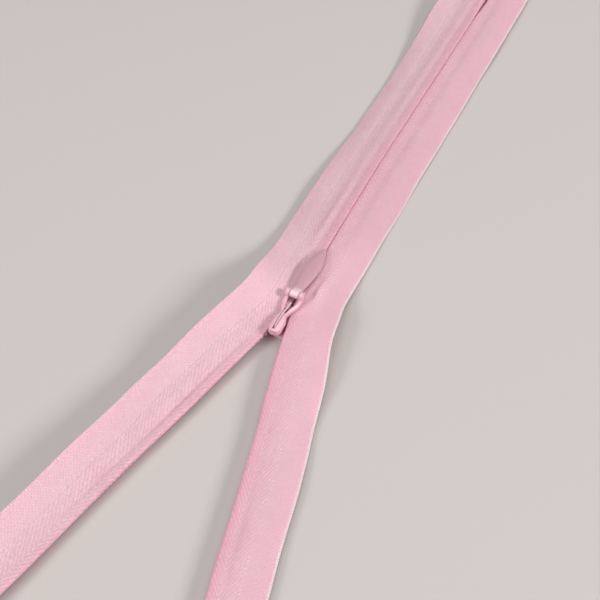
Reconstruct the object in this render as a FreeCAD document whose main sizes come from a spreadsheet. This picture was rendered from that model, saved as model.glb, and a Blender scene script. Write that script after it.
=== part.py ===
"""Concealed (invisible) zipper, 23 cm chain, lying half open on its back with the face side up.

Frame: +X runs along the closed chain from the slider towards the bottom stop, +Y is the left tape's side,
+Z is up out of the face side. The origin is the middle of the footprint, on the surface it lies on.
All lengths are in millimetres. The sizes are in the sheet called Sizes.
"""
import FreeCAD, Part
import math
import os
from FreeCAD import Vector, Placement, Rotation

os.makedirs("parts", exist_ok=True)
doc = FreeCAD.newDocument("ConcealedZipper")
sheet = doc.addObject("Spreadsheet::Sheet", "Sizes")
doc.recompute()

SIZES = [
    # plan of the fold line: straight closed chain, one arc inside the slider, straight open leg
    ("bend_start", -1.5, "x where the two folds start to part"),
    ("bend_radius", 48.0, "radius of the fold line through the slider"),
    ("leg_angle", 12.5, "degrees between an open leg and the closed chain"),
    ("leg_cos", math.cos(math.radians(12.5)), "cosine of leg_angle"),
    ("leg_sin", math.sin(math.radians(12.5)), "sine of leg_angle"),
    ("closed_end", 138.5, "x of the cut end of the closed tapes"),
    ("leg_run", 129.69, "length of the straight open leg"),
    # tape
    ("tape_half", 12.25, "fold line to selvage, closed"),
    ("tape_leg", 13.90, "fold line to selvage, open leg"),
    ("tape_thick", 0.35, "woven tape thickness"),
    ("margin_thick", 0.32, "thickness of the plain sewing margin"),
    ("twill_wide", 6.60, "fold line to the end of the herringbone band, closed"),
    ("twill_leg", 8.00, "fold line to the end of the herringbone band, open leg"),
    ("tape_low", 2.85, "underside of the tape's visible layer"),
    ("fold_gap", 0.08, "fold line to the outside of the fold"),
    ("strip_low", 1.92, "underside of the folded-back strip"),
    ("strip_wide", 2.30, "fold line to the strip's edge"),
    # coil
    ("coil_low", 0.62, "underside of the coil"),
    ("coil_thick", 1.25, "coil thickness"),
    ("coil_back", 1.95, "fold line to the coil's back"),
    ("coil_spine", 1.30, "fold line to the roots of the elements"),
    ("coil_tip", 0.35, "reach of an element's head past the fold line"),
    ("coil_pitch", 1.27, "distance between elements"),
    ("coil_tooth", 0.54, "thickness of one element"),
    ("bore_in", 0.50, "fold line to the coil bore's near side"),
    ("bore_out", 1.24, "fold line to the coil bore's far side"),
    ("bore_tall", 0.62, "height of the coil's bore"),
    ("cord_dia", 0.50, "core cord diameter"),
    ("cord_line", 0.87, "fold line to the core cord's axis"),
    ("thread_dia", 0.18, "sewing thread diameter"),
    ("thread_line", 1.62, "fold line to the sewing thread's axis"),
    ("groove_wide", 0.28, "thread groove in the coil"),
    ("groove_deep", 0.24, "thread groove depth"),
    ("chain_bottom", 117.2, "x of the coil's end at the bottom stop"),
    ("chain_top", 100.6, "length of coil on the open leg"),
    # stops
    ("stop_long", 3.4, "length of a stop along the chain"),
    ("stop_wall", 0.48, "sheet thickness of a stop"),
    ("stop_reach", 2.42, "fold line to the inside of a stop's back wall"),
    ("stop_jaw", 0.62, "fold line to the edge of a stop's jaw"),
    ("jaw_low", 2.31, "underside of a stop's jaw"),
    # slider
    ("plate_thick", 0.55, "slider back plate"),
    ("slider_rear", -4.5, "x of the slider's rear mouth"),
    ("slider_front", -16.2, "x of the slider's front mouth"),
    ("wall_in", 2.44, "fold line to the inside of the slider's side wall"),
    ("wall_out", 2.92, "fold line to the outside of the slider's side wall"),
    ("lip_in", 0.76, "fold line to the edge of the slider's lip"),
    ("lip_low", 2.34, "underside of the slider's lip"),
    ("lip_top", 2.77, "top of the slider's lip and wall"),
    ("nose_front", -18.9, "x of the front of the slider's nose"),
    ("nose_top", 5.45, "top of the nose"),
    ("bridge_low", 3.42, "underside of the bridge, above the tape"),
    ("arm_top", 4.72, "top of the two arms"),
    ("pivot_x", -6.30, "x of the pull tab's pivot"),
    ("pivot_z", 5.02, "height of the pull tab's pivot"),
    ("ear_round", 1.12, "outer radius of an ear"),
    ("ear_in", 1.29, "axis to the inside of an ear"),
    ("ear_out", 2.34, "axis to the outside of an ear"),
    ("ear_bore", 0.56, "radius of an ear's bore"),
    # pull tab
    ("trunnion", 0.51, "radius of the tab's trunnions"),
    ("trunnion_reach", 2.24, "axis to a trunnion's end"),
    ("barrel", 0.98, "radius of the tab's barrel"),
    ("barrel_half", 1.15, "half width of the tab's barrel"),
    ("tab_thick", 1.05, "pull tab thickness"),
    ("tab_long", 17.9, "pivot to tip"),
    ("tab_wide", 2.25, "half width of the tab at its widest"),
    ("tab_slope", 3.7, "degrees the resting tab slopes down"),
    # lock spring
    ("leaf_thick", 0.24, "thickness of the lock spring"),
    ("leaf_half", 0.21, "half width of the lock spring"),
    ("slot_half", 0.42, "half width of the slot in the nose"),
    ("slot_floor", 4.60, "bottom of the slot in the nose"),
    ("leaf_low", 4.92, "underside of the lock spring in the slot"),
    ("pawl_low", 1.15, "lowest point of the pawl"),
]
for row, (name, value, note) in enumerate(SIZES, start=1):
    sheet.set("A%d" % row, name)
    sheet.set("B%d" % row, repr(round(value, 6)))
    sheet.set("C%d" % row, note)
    sheet.setAlias("B%d" % row, name)
doc.recompute()


class Q:
    """A length with the expression that binds it to the sheet."""

    def __init__(self, value, text):
        self.v, self.t = float(value), text

    @staticmethod
    def of(x):
        return x if isinstance(x, Q) else Q(x, repr(float(x)))

    def __add__(self, o):
        o = Q.of(o)
        return Q(self.v + o.v, "(%s + %s)" % (self.t, o.t))

    def __sub__(self, o):
        o = Q.of(o)
        return Q(self.v - o.v, "(%s - %s)" % (self.t, o.t))

    def __mul__(self, o):
        o = Q.of(o)
        return Q(self.v * o.v, "(%s * %s)" % (self.t, o.t))

    def __truediv__(self, o):
        o = Q.of(o)
        return Q(self.v / o.v, "(%s / %s)" % (self.t, o.t))

    __radd__ = lambda self, o: Q.of(o) + self
    __rsub__ = lambda self, o: Q.of(o) - self
    __rmul__ = lambda self, o: Q.of(o) * self

    def __neg__(self):
        return Q(-self.v, "(0 - %s)" % self.t)


class Sheet:
    def __getattr__(self, name):
        return Q(float(sheet.get(name)), "Sizes." + name)


S = Sheet()
BODIES = []


def body(label):
    b = doc.addObject("PartDesign::Body", label)
    b.Label = label
    BODIES.append(b)
    return b


def plane(b, role):
    return [f for f in b.Origin.OriginFeatures if f.Role == role][0]


def sketch(b, name, role="XY_Plane", lift=None):
    sk = b.newObject("Sketcher::SketchObject", name)
    sk.AttachmentSupport = [(plane(b, role), "")]
    sk.MapMode = "FlatFace"
    if lift is not None:
        lift = Q.of(lift)
        sk.AttachmentOffset = Placement(Vector(0, 0, lift.v), Rotation())
        sk.setExpression("AttachmentOffset.Base.z", lift.t)
    return sk


def pin(sk, geo, pos, x, y):
    """Hold one end of a curve at (x, y), bound to the sheet."""
    for kind, q in (("DistanceX", Q.of(x)), ("DistanceY", Q.of(y))):
        i = sk.addConstraint(Sketcher.Constraint(kind, -1, 1, geo, pos, q.v))
        sk.setExpression("Constraints[%d]" % i, q.t)


def outline(sk, pts, closed=True):
    """Lines and arcs through pts. A point is (x, y), or (x, y, radius, turn) where the curve that LEAVES it
    is an arc of that radius, turn +1 to the left and -1 to the right."""
    n = len(pts)
    ends = []
    for i in range(n if closed else n - 1):
        p, q = pts[i], pts[(i + 1) % n]
        a = Vector(Q.of(p[0]).v, Q.of(p[1]).v, 0)
        c = Vector(Q.of(q[0]).v, Q.of(q[1]).v, 0)
        if len(p) == 4:
            r, turn = Q.of(p[2]), p[3]
            mid, half = (a + c) * 0.5, (c - a).Length * 0.5
            up = Vector(-(c - a).y, (c - a).x, 0).normalize()
            centre = mid + up * (turn * math.sqrt(max(r.v * r.v - half * half, 0.0)))
            s, e = (a, c) if turn > 0 else (c, a)
            a1 = math.atan2(s.y - centre.y, s.x - centre.x)
            a2 = math.atan2(e.y - centre.y, e.x - centre.x)
            if a2 <= a1:
                a2 += 2 * math.pi
            g = sk.addGeometry(Part.ArcOfCircle(Part.Circle(centre, Vector(0, 0, 1), r.v), a1, a2), False)
            ends.append((g, 1, 2) if turn > 0 else (g, 2, 1))
            k = sk.addConstraint(Sketcher.Constraint("Radius", g, r.v))
            sk.setExpression("Constraints[%d]" % k, r.t)
        else:
            g = sk.addGeometry(Part.LineSegment(a, c), False)
            ends.append((g, 1, 2))
    for i, (g, s, e) in enumerate(ends):
        pin(sk, g, s, pts[i][0], pts[i][1])
        if closed or i + 1 < len(ends):
            g2, s2, _ = ends[(i + 1) % len(ends)]
            sk.addConstraint(Sketcher.Constraint("Coincident", g, e, g2, s2))
        else:
            pin(sk, g, e, pts[i + 1][0], pts[i + 1][1])
    return sk


def circle(sk, x, y, r):
    x, y, r = Q.of(x), Q.of(y), Q.of(r)
    g = sk.addGeometry(Part.Circle(Vector(x.v, y.v, 0), Vector(0, 0, 1), r.v), False)
    pin(sk, g, 3, x, y)
    k = sk.addConstraint(Sketcher.Constraint("Radius", g, r.v))
    sk.setExpression("Constraints[%d]" % k, r.t)
    return sk


def pad(b, sk, length, name="Pad", both=False, reverse=False):
    f = b.newObject("PartDesign::Pad", name)
    f.Profile = sk
    length = Q.of(length)
    f.Length = length.v
    f.setExpression("Length", length.t)
    if both:
        f.Midplane = True
    f.Reversed = reverse
    return f


def pocket(b, sk, length, name="Pocket", both=False, reverse=False):
    f = b.newObject("PartDesign::Pocket", name)
    f.Profile = sk
    length = Q.of(length)
    f.Length = length.v
    f.setExpression("Length", length.t)
    if both:
        f.Midplane = True
    f.Reversed = reverse
    return f


import Sketcher

# ---------------------------------------------------------------- fold line
R0, BX = S.bend_radius, S.bend_start
COS, SIN = S.leg_cos, S.leg_sin


def at_closed(side, x, off):
    """A point beside the closed chain, off away from the fold line."""
    return (x, side * Q.of(off))


def at_bend(side, off):
    """The end of the arc, where the open leg starts."""
    return (BX - (R0 - Q.of(off)) * SIN, side * (R0 - (R0 - Q.of(off)) * COS))


def at_leg(side, run, off):
    """A point beside the open leg, run along it from the end of the arc."""
    run, off = Q.of(run), Q.of(off)
    return (BX - (R0 - off) * SIN - run * COS, side * (R0 - (R0 - off) * COS + run * SIN))


def band(side, x_end, run, off_in, off_out, off_in_leg=None, off_out_leg=None):
    """Closed outline of a band that follows the fold line from x_end to run along the leg."""
    li = Q.of(off_in if off_in_leg is None else off_in_leg)
    lo = Q.of(off_out if off_out_leg is None else off_out_leg)
    off_in, off_out = Q.of(off_in), Q.of(off_out)
    t = -side  # going towards -X, the left side's arc turns right
    pts = [
        (x_end, side * off_in),
        (BX, side * off_in, R0 - off_in, t),
        at_bend(side, off_in),
    ]
    if li.t != off_in.t:
        pts += [at_leg(side, 6.0, li)]
    pts += [at_leg(side, run, li), at_leg(side, run, lo)]
    if lo.t == off_out.t:
        pts += [at_bend(side, off_out) + (R0 - off_out, -t)]
    else:
        pts += [at_leg(side, 6.0, lo), at_bend(side, off_out) + (R0 - off_out, -t)]
    pts += [(BX, side * off_out), (x_end, side * off_out)]
    return pts


def spine(side, x_end, run, off):
    """Open path that follows the fold line at a fixed distance."""
    off = Q.of(off)
    return [
        (x_end, side * off),
        (BX, side * off, R0 - off, -side),
        at_bend(side, off),
        at_leg(side, run, off),
    ]


# ---------------------------------------------------------------- tapes
for word, side in (("left", 1), ("right", -1)):
    b = body(word + "_tape")
    # visible layer, herringbone band beside the fold and plain sewing margin out to the selvage
    sk = outline(
        sketch(b, word + "_tape_twill_plan", lift=S.tape_low),
        band(side, S.closed_end, S.leg_run, S.fold_gap, S.twill_wide, None, S.twill_leg),
    )
    pad(b, sk, S.tape_thick, word + "_tape_twill")
    sk = outline(
        sketch(b, word + "_tape_margin_plan", lift=S.tape_low),
        band(side, S.closed_end, S.leg_run, S.twill_wide, S.tape_half, S.twill_leg, S.tape_leg),
    )
    pad(b, sk, S.margin_thick, word + "_tape_margin")
    # the fold itself
    sk = outline(
        sketch(b, word + "_tape_fold_plan", lift=S.strip_low),
        band(side, S.closed_end, S.leg_run, S.fold_gap, S.fold_gap + S.tape_thick),
    )
    pad(b, sk, S.tape_low + S.tape_thick - S.strip_low, word + "_tape_fold")
    # strip folded back under, which carries the coil
    sk = outline(
        sketch(b, word + "_tape_strip_plan", lift=S.strip_low),
        band(side, S.closed_end, S.leg_run, S.fold_gap, S.strip_wide),
    )
    pad(b, sk, S.tape_thick, word + "_tape_strip")

# ---------------------------------------------------------------- core cords and sewing threads
for word, side in (("left", 1), ("right", -1)):
    for node, dia, line, height in (
        ("_core_cord", S.cord_dia, S.cord_line, S.coil_low + S.coil_thick / 2.0),
        ("_sewing_thread", S.thread_dia, S.thread_line, S.coil_low + S.groove_deep / 2.0),
    ):
        b = body(word + node)
        path = outline(
            sketch(b, word + node + "_path", lift=height),
            spine(side, S.chain_bottom - 0.3, S.chain_top - 0.3, line),
            closed=False,
        )
        ring = sketch(b, word + node + "_section", "YZ_Plane", lift=S.chain_bottom - 0.3)
        circle(ring, side * line, height, dia / 2.0)
        pipe = b.newObject("PartDesign::AdditivePipe", word + node + "_pipe")
        pipe.Profile = ring
        pipe.Spine = (path, ["Edge1", "Edge2", "Edge3"])


# ---------------------------------------------------------------- coils
def station(s):
    """Point, direction along the chain and outward direction (left side) at path length s from the chain's
    bottom end, as plain numbers."""
    r, bx, ang = R0.v, BX.v, math.radians(S.leg_angle.v)
    straight = S.chain_bottom.v - bx
    if s <= straight:
        return Vector(S.chain_bottom.v - s, 0, 0), 0.0
    if s <= straight + r * ang:
        a = (s - straight) / r
        return Vector(bx - r * math.sin(a), r * (1 - math.cos(a)), 0), a
    d = s - straight - r * ang
    return Vector(bx - r * math.sin(ang) - d * math.cos(ang), r * (1 - math.cos(ang)) + d * math.sin(ang), 0), ang


def comb(side, phase):
    """Plan outline of one coil: a back rail with one element per pitch."""
    total = S.chain_bottom.v - BX.v + R0.v * math.radians(S.leg_angle.v) + S.chain_top.v
    pitch, w = S.coil_pitch.v, S.coil_tooth.v

    def p(s, off):
        c, a = station(s)
        q = c + Vector(math.sin(a), math.cos(a), 0) * off
        return Vector(q.x, side * q.y, S.coil_low.v)

    pts = [p(0, S.coil_back.v), p(0, S.coil_spine.v)]
    s = 0.35 + phase * pitch
    while s + w < total - 0.2:
        pts += [p(s, S.coil_spine.v), p(s + 0.08, -S.coil_tip.v + 0.10), p(s + 0.16, -S.coil_tip.v)]
        pts += [p(s + w - 0.16, -S.coil_tip.v), p(s + w - 0.08, -S.coil_tip.v + 0.10), p(s + w, S.coil_spine.v)]
        s += pitch
    pts += [p(total, S.coil_spine.v), p(total, S.coil_back.v)]
    # the back rail's outer edge returns along the fold line
    ang = math.radians(S.leg_angle.v)
    straight = S.chain_bottom.v - BX.v
    back = [p(straight + R0.v * ang * k / 8.0, S.coil_back.v) for k in range(8, -1, -1)]
    pts += back
    clean = [pts[0]]
    for q in pts[1:]:
        if (q - clean[-1]).Length > 1e-6:
            clean.append(q)
    return Part.Face(Part.makePolygon(clean + [clean[0]])).extrude(Vector(0, 0, S.coil_thick.v))


def tunnel(side, inner, outer, low, high, over):
    """A band of given height that follows the fold line, longer than the coil at both ends."""
    x_end = S.chain_bottom.v + over
    ang = math.radians(S.leg_angle.v)
    run = S.chain_top.v + over
    r, bx = R0.v, BX.v

    def leg(off, d):
        return Vector(bx - (r - off) * math.sin(ang) - d * math.cos(ang), side * (r - (r - off) * math.cos(ang) + d * math.sin(ang)), low)

    def arc(off):
        return Part.Arc(
            Vector(bx, side * off, low),
            Vector(bx - (r - off) * math.sin(ang / 2), side * (r - (r - off) * math.cos(ang / 2)), low),
            leg(off, 0),
        ).toShape()

    line = lambda a, c: Part.LineSegment(a, c).toShape()
    edges = [
        line(Vector(x_end, side * inner, low), Vector(bx, side * inner, low)),
        arc(inner),
        line(leg(inner, 0), leg(inner, run)),
        line(leg(inner, run), leg(outer, run)),
        line(leg(outer, run), leg(outer, 0)),
        arc(outer),
        line(Vector(bx, side * outer, low), Vector(x_end, side * outer, low)),
        line(Vector(x_end, side * outer, low), Vector(x_end, side * inner, low)),
    ]
    return Part.Face(Part.Wire(Part.__sortEdges__(edges))).extrude(Vector(0, 0, high - low))


for word, side, phase in (("left", 1, 0.0), ("right", -1, 0.5)):
    whole = comb(side, phase)
    mid = S.coil_low.v + S.coil_thick.v / 2.0
    bore = tunnel(side, S.bore_in.v, S.bore_out.v, mid - S.bore_tall.v / 2.0, mid + S.bore_tall.v / 2.0, 1.0)
    g = S.thread_line.v
    groove = tunnel(side, g - S.groove_wide.v / 2.0, g + S.groove_wide.v / 2.0, S.coil_low.v - 0.2, S.coil_low.v + S.groove_deep.v, 1.0)
    coil = whole.cut(bore).cut(groove)
    f = doc.addObject("Part::Feature", word + "_coil")
    f.Label = word + "_coil"
    f.Shape = coil.Solids[0] if len(coil.Solids) == 1 else coil
    f.Placement = Placement()
    BODIES.append(f)
    print(word, "coil solids", len(coil.Solids), "volume", round(coil.Volume, 3))

# ---------------------------------------------------------------- stops
for word, side in (("left", 1), ("right", -1)):
    b = body(word + "_top_stop")
    # section across the open leg: a clamp round the coil's end, open towards the fold
    t = S.stop_wall
    y0, y1 = side * -S.coil_tip, side * (S.stop_reach + t)
    top = S.jaw_low + t
    sk = outline(
        sketch(b, word + "_top_stop_section", "YZ_Plane"),
        [
            (y0, 0.0),
            (y1, 0.0),
            (y1, top),
            (side * S.stop_jaw, top),
            (side * S.stop_jaw, S.jaw_low),
            (side * S.stop_reach, S.jaw_low),
            (side * S.stop_reach, t + 0.04),
            (y0, t + 0.04),
        ],
    )
    pad(b, sk, S.stop_long, word + "_top_stop_clamp")
    start = at_leg(1, S.chain_top - 1.2 + S.stop_long, 0.0)
    b.Placement = Placement(Vector(start[0].v, side * start[1].v, 0), Rotation(Vector(0, 0, 1), -side * S.leg_angle.v))
    b.setExpression("Placement.Base.x", start[0].t)
    b.setExpression("Placement.Base.y", "%d * %s" % (side, start[1].t))

b = body("bottom_stop")
t = S.stop_wall
top = S.jaw_low + t
w0, w1 = S.stop_reach, S.stop_reach + t
sk = outline(
    sketch(b, "bottom_stop_section", "YZ_Plane", lift=S.chain_bottom - 1.2),
    [
        (-w1, 0.0), (w1, 0.0), (w1, top), (S.stop_jaw, top), (S.stop_jaw, S.jaw_low), (w0, S.jaw_low),
        (w0, t + 0.04), (-w0, t + 0.04), (-w0, S.jaw_low), (-S.stop_jaw, S.jaw_low), (-S.stop_jaw, top), (-w1, top),
    ],
)
pad(b, sk, S.stop_long, "bottom_stop_clamp")

doc.recompute()

# ---------------------------------------------------------------- slider body


def fold_y(x):
    """Distance of the fold line from the axis at a given x, as a number."""
    r, bx, ang = R0.v, BX.v, math.radians(S.leg_angle.v)
    if x >= bx:
        return 0.0
    if x >= bx - r * math.sin(ang):
        return r - math.sqrt(r * r - (bx - x) ** 2)
    return r * (1 - math.cos(ang)) + (bx - r * math.sin(ang) - x) * math.tan(ang)


def flank(off):
    """Points along one side of the slider, rear mouth to front mouth, off away from the fold line."""
    xs = [S.slider_rear, S.slider_rear - 3.6, S.slider_rear - 7.2, S.slider_front]
    return [(x, Q.of(off) + fold_y(x.v)) for x in xs]


def both_sides(pts):
    return pts, [(x, -y) for x, y in reversed(pts)]


b = body("slider_body")
up, down = both_sides(flank(S.wall_out))
# back plate under the coils
sk = outline(sketch(b, "slider_plate_plan"), up + [(S.slider_front - 0.7, 2.9), (S.slider_front - 0.7, -2.9)] + down)
pad(b, sk, S.plate_thick, "slider_plate")
# side walls and the lips that turn in over the coils
for sgn, word in ((1, "left"), (-1, "right")):
    outer = [(x, sgn * y) for x, y in flank(S.wall_out)]
    inner = [(x, sgn * y) for x, y in flank(S.wall_in)]
    lip = [(x, sgn * y) for x, y in flank(S.lip_in)]
    sk = outline(sketch(b, "slider_%s_wall_plan" % word), outer + inner[::-1])
    pad(b, sk, S.lip_top, "slider_%s_wall" % word)
    sk = outline(sketch(b, "slider_%s_lip_plan" % word, lift=S.lip_low), outer + lip[::-1])
    pad(b, sk, S.lip_top - S.lip_low, "slider_%s_lip" % word)
# post between the two folds
sk = outline(
    sketch(b, "slider_post_plan"),
    [
        (-12.3, 0.46), (-15.0, 1.10), (-15.9, 1.10, 0.9, 1), (-16.8, 0.35), (-16.8, -0.35, 0.9, 1),
        (-15.9, -1.10), (-15.0, -1.10), (-12.3, -0.46),
    ],
)
pad(b, sk, S.nose_top - 0.6, "slider_post")
# nose on the face side
sk = outline(
    sketch(b, "slider_nose_plan", lift=S.bridge_low),
    [
        (-12.8, 0.92), (-14.8, 1.58), (-17.3, 1.62, 1.5, 1), (S.nose_front, 0.55), (S.nose_front, -0.55, 1.5, 1),
        (-17.3, -1.62), (-14.8, -1.58), (-12.8, -0.92),
    ],
)
pad(b, sk, S.nose_top - S.bridge_low, "slider_nose")
# two arms that run back to the ears
for sgn, word in ((1, "left"), (-1, "right")):
    sk = outline(
        sketch(b, "slider_%s_arm_plan" % word, lift=S.bridge_low),
        [
            (-13.4, sgn * 0.34), (-13.4, sgn * 0.90), (-12.6, sgn * 0.96), (-11.6, sgn * 1.26), (-10.3, sgn * 1.84), (-9.0, sgn * S.ear_out - sgn * 0.08),
            (-7.6, sgn * S.ear_out), (S.pivot_x, sgn * S.ear_out), (S.pivot_x, sgn * S.ear_in), (-7.9, sgn * S.ear_in), (-9.4, sgn * 1.06),
            (-10.5, sgn * 0.70), (-11.4, sgn * 0.42), (-12.2, sgn * 0.34),
        ],
    )
    pad(b, sk, S.arm_top - S.bridge_low, "slider_%s_arm" % word)
    # ear with the bore for the pull tab's trunnion
    sk = circle(sketch(b, "slider_%s_ear_side" % word, "XZ_Plane", lift=-sgn * S.ear_in), S.pivot_x, S.pivot_z, S.ear_round)
    pad(b, sk, S.ear_out - S.ear_in, "slider_%s_ear" % word, reverse=(sgn > 0))
doc.recompute()
# bore through both ears
sk = circle(sketch(b, "slider_bore_side", "XZ_Plane"), S.pivot_x, S.pivot_z, S.ear_bore)
pocket(b, sk, S.ear_out * 2.0 + 2.0, "slider_bore", both=True)
# slot in the nose for the lock spring, open to the rear
sk = outline(
    sketch(b, "slider_slot_plan", lift=S.nose_top),
    [(-18.3, S.slot_half), (-18.3, -S.slot_half), (-11.0, -S.slot_half), (-11.0, S.slot_half)],
)
pocket(b, sk, S.nose_top - S.slot_floor, "slider_slot")
# seat hole for the spring's foot
sk = outline(
    sketch(b, "slider_seat_plan", lift=S.slot_floor),
    [(-18.3, S.slot_half), (-18.3, -S.slot_half), (-17.4, -S.slot_half), (-17.4, S.slot_half)],
)
pocket(b, sk, 1.0, "slider_seat")
doc.recompute()

# ---------------------------------------------------------------- lock spring
b = body("lock_spring")
t = S.leaf_thick
z0 = S.leaf_low
z1 = S.leaf_low + t
sk = outline(
    sketch(b, "lock_spring_side", "XZ_Plane"),
    [
        # foot in the seat hole
        (-18.05, z0 - 1.1), (t - 18.05, z0 - 1.1), (t - 18.05, z0),
        # underside of the leaf, then down to the pawl
        (-12.6, z0), (-10.55, z0 - 0.62), (-10.05, S.pawl_low + 0.5), (-9.75, S.pawl_low), (-9.45, S.pawl_low),
        (-9.55, z0 - 0.75), (-8.55, z0 - 0.86), (-8.55, z0 - 0.86 + t), (-9.8, z0 - 0.48), (-12.5, z1),
        # round bend over the foot, which the leaf turns about
        (t - 18.05, z1, t, 1), (-18.05, z0),
    ],
)
pad(b, sk, S.leaf_half * 2.0, "lock_spring_leaf", both=True)

# ---------------------------------------------------------------- pull tab
b = body("pull_tab")
# made lying along +X with the pivot at its origin, then turned down by its slope
half_t = S.tab_thick / 2.0
sk = outline(
    sketch(b, "pull_tab_plan", lift=-half_t),
    [
        (0.0, -S.barrel_half + 0.12), (1.45, -S.barrel_half + 0.10), (2.6, -1.28), (4.6, -1.62), (6.6, -1.92), (9.4, -S.tab_wide + 0.10, 9.0, 1),
        (12.2, -1.92), (14.6, -1.26, 20.0, 1), (S.tab_long - 0.50, -0.48, 0.62, 1), (S.tab_long - 0.50, 0.48, 20.0, 1), (14.6, 1.26), (12.2, 1.92, 9.0, 1),
        (9.4, S.tab_wide - 0.10), (6.6, 1.92), (4.6, 1.62), (2.6, 1.28), (1.45, S.barrel_half - 0.10), (0.0, S.barrel_half - 0.12),
    ],
)
pad(b, sk, S.tab_thick, "pull_tab_blade")
sk = circle(sketch(b, "pull_tab_barrel_side", "XZ_Plane"), 0.0, 0.0, S.barrel)
pad(b, sk, S.barrel_half * 2.0, "pull_tab_barrel", both=True)
sk = circle(sketch(b, "pull_tab_trunnion_side", "XZ_Plane"), 0.0, 0.0, S.trunnion)
pad(b, sk, S.trunnion_reach * 2.0, "pull_tab_trunnions", both=True)
b.Placement = Placement(Vector(S.pivot_x.v, 0, S.pivot_z.v), Rotation(Vector(0, 1, 0), S.tab_slope.v))
b.setExpression("Placement.Base.x", S.pivot_x.t)
b.setExpression("Placement.Base.z", S.pivot_z.t)
doc.recompute()

# ---------------------------------------------------------------- checks and files
bad = [o.Name for o in doc.Objects if any(w in ("Invalid", "Error") for w in o.State)]
if bad:
    raise RuntimeError("objects that failed: " + ", ".join(bad))
for o in BODIES:
    shape = o.Shape
    if shape.isNull() or not shape.isValid():
        raise RuntimeError(o.Label + " has no valid shape")
    box = shape.BoundBox
    print("%-22s solids %d  volume %9.3f  x %8.2f %8.2f  y %7.2f %7.2f  z %5.2f %5.2f" % (
        o.Label, len(shape.Solids), shape.Volume, box.XMin, box.XMax, box.YMin, box.YMax, box.ZMin, box.ZMax))
    shape.exportStep("parts/%s.step" % o.Label)
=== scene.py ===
"""Looks for the concealed zipper: woven tapes, moulded coils, cords, threads, stops, slider, lock spring and pull tab.

Sizes inside this file are in millimetres and become metres when a mesh is made (MM).
Row frame: +X along the closed chain towards the bottom stop, +Y the left tape, +Z up, the table at z = 0.
"""
import bpy
import bmesh
import math
import numpy as np
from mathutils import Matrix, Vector


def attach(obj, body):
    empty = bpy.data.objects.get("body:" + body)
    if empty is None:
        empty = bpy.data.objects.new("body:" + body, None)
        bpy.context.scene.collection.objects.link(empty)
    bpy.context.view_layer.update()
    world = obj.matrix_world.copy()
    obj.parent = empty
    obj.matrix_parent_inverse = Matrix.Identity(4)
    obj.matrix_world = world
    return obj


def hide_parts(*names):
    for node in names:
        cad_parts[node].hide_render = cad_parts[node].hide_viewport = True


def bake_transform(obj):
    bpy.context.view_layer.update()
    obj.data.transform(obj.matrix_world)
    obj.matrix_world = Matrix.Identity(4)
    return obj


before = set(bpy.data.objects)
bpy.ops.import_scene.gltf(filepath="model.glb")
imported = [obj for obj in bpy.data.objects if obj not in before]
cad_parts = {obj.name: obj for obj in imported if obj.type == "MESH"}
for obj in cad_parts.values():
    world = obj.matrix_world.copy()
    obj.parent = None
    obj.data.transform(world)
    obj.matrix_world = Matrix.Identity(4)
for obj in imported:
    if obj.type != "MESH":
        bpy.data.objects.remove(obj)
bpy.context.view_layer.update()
MM = 0.001
SC = bpy.context.scene

# ------------------------------------------------------------------ camera, framed as the object lies in its picture
yaw, pitch, dist = math.radians(25.56), math.radians(49.52), 0.3015
FWD = Vector((math.cos(yaw) * math.cos(pitch), math.sin(yaw) * math.cos(pitch), -math.sin(pitch)))
cam_data = bpy.data.cameras.new("camera")
cam = bpy.data.objects.new("camera", cam_data)
SC.collection.objects.link(cam)
cam.location = Vector((-0.00358, -0.00004, 0.0)) - FWD * dist
cam.rotation_mode = "QUATERNION"
cam.rotation_quaternion = FWD.to_track_quat("-Z", "Y")
cam_data.sensor_width = 36.0
cam_data.lens = 72.94
cam_data.clip_start, cam_data.clip_end = 0.01, 20.0
SC.camera = cam

# ------------------------------------------------------------------ small maths


def ease(t):
    t = np.clip(t, 0.0, 1.0)
    return t * t * (3.0 - 2.0 * t)


def ramp(x, a, b):
    """0 at a and before, 1 at b and after."""
    return ease((np.asarray(x, float) - a) / (b - a))


def hump(x, c, w):
    return np.exp(-(((np.asarray(x, float) - c) / w) ** 2))


def wander(s, o, seed, wave):
    """A smooth uneven surface, about -1 to 1, from a few crossed sines."""
    rng = np.random.RandomState(seed)
    out = 0.0
    for k in range(7):
        f = (0.55 + 0.22 * k) / wave
        a = rng.uniform(-0.6, 0.6)
        p = rng.uniform(0, 2 * math.pi)
        out = out + np.sin(2 * math.pi * f * (s * math.cos(a) + 1.7 * o * math.sin(a)) + p) / (1.0 + 0.45 * k)
    return out / 3.2


# ------------------------------------------------------------------ plan of the fold line, as the CAD has it
BX, RB = -1.5, 48.0
CLOSED_END = 138.5
LEG_RUN = 129.69
LEG = {1: math.radians(11.9), -1: math.radians(13.1)}  # the two legs spread a little unevenly
CAD_LEG = math.radians(12.5)
SEAM = -10.0  # both lengths of a tape meet here, inside the slider
PITCH = 1.27


def s_end(side):
    return BX - RB * LEG[side] - LEG_RUN


def sway(s):
    """The closed chain isn't quite straight."""
    return 0.42 * hump(s, 50, 26) - 0.40 * ramp(s, 78, 122) - 0.12 * hump(s, 14, 10)


def fold(s, side):
    a = LEG[side]
    s = np.asarray(s, float)
    th = np.clip((BX - s) / RB, 0, a)
    d = np.clip(BX - RB * a - s, 0, None)
    x = np.where(s >= BX, s, BX - RB * np.sin(th) - d * math.cos(a))
    y = np.where(s >= BX, 0.0, RB * (1 - np.cos(th)) + d * math.sin(a))
    return x, y, th


def lift(s, side):
    """The slider holds the chain up; away from it the chain sinks on to the table."""
    s = np.asarray(s, float)
    return -0.32 * (ramp(-s, 24, 46) * (1 - ramp(-s, 88, 104)) + ramp(s, 14, 40) * (1 - ramp(s, 90, 108)))


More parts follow.
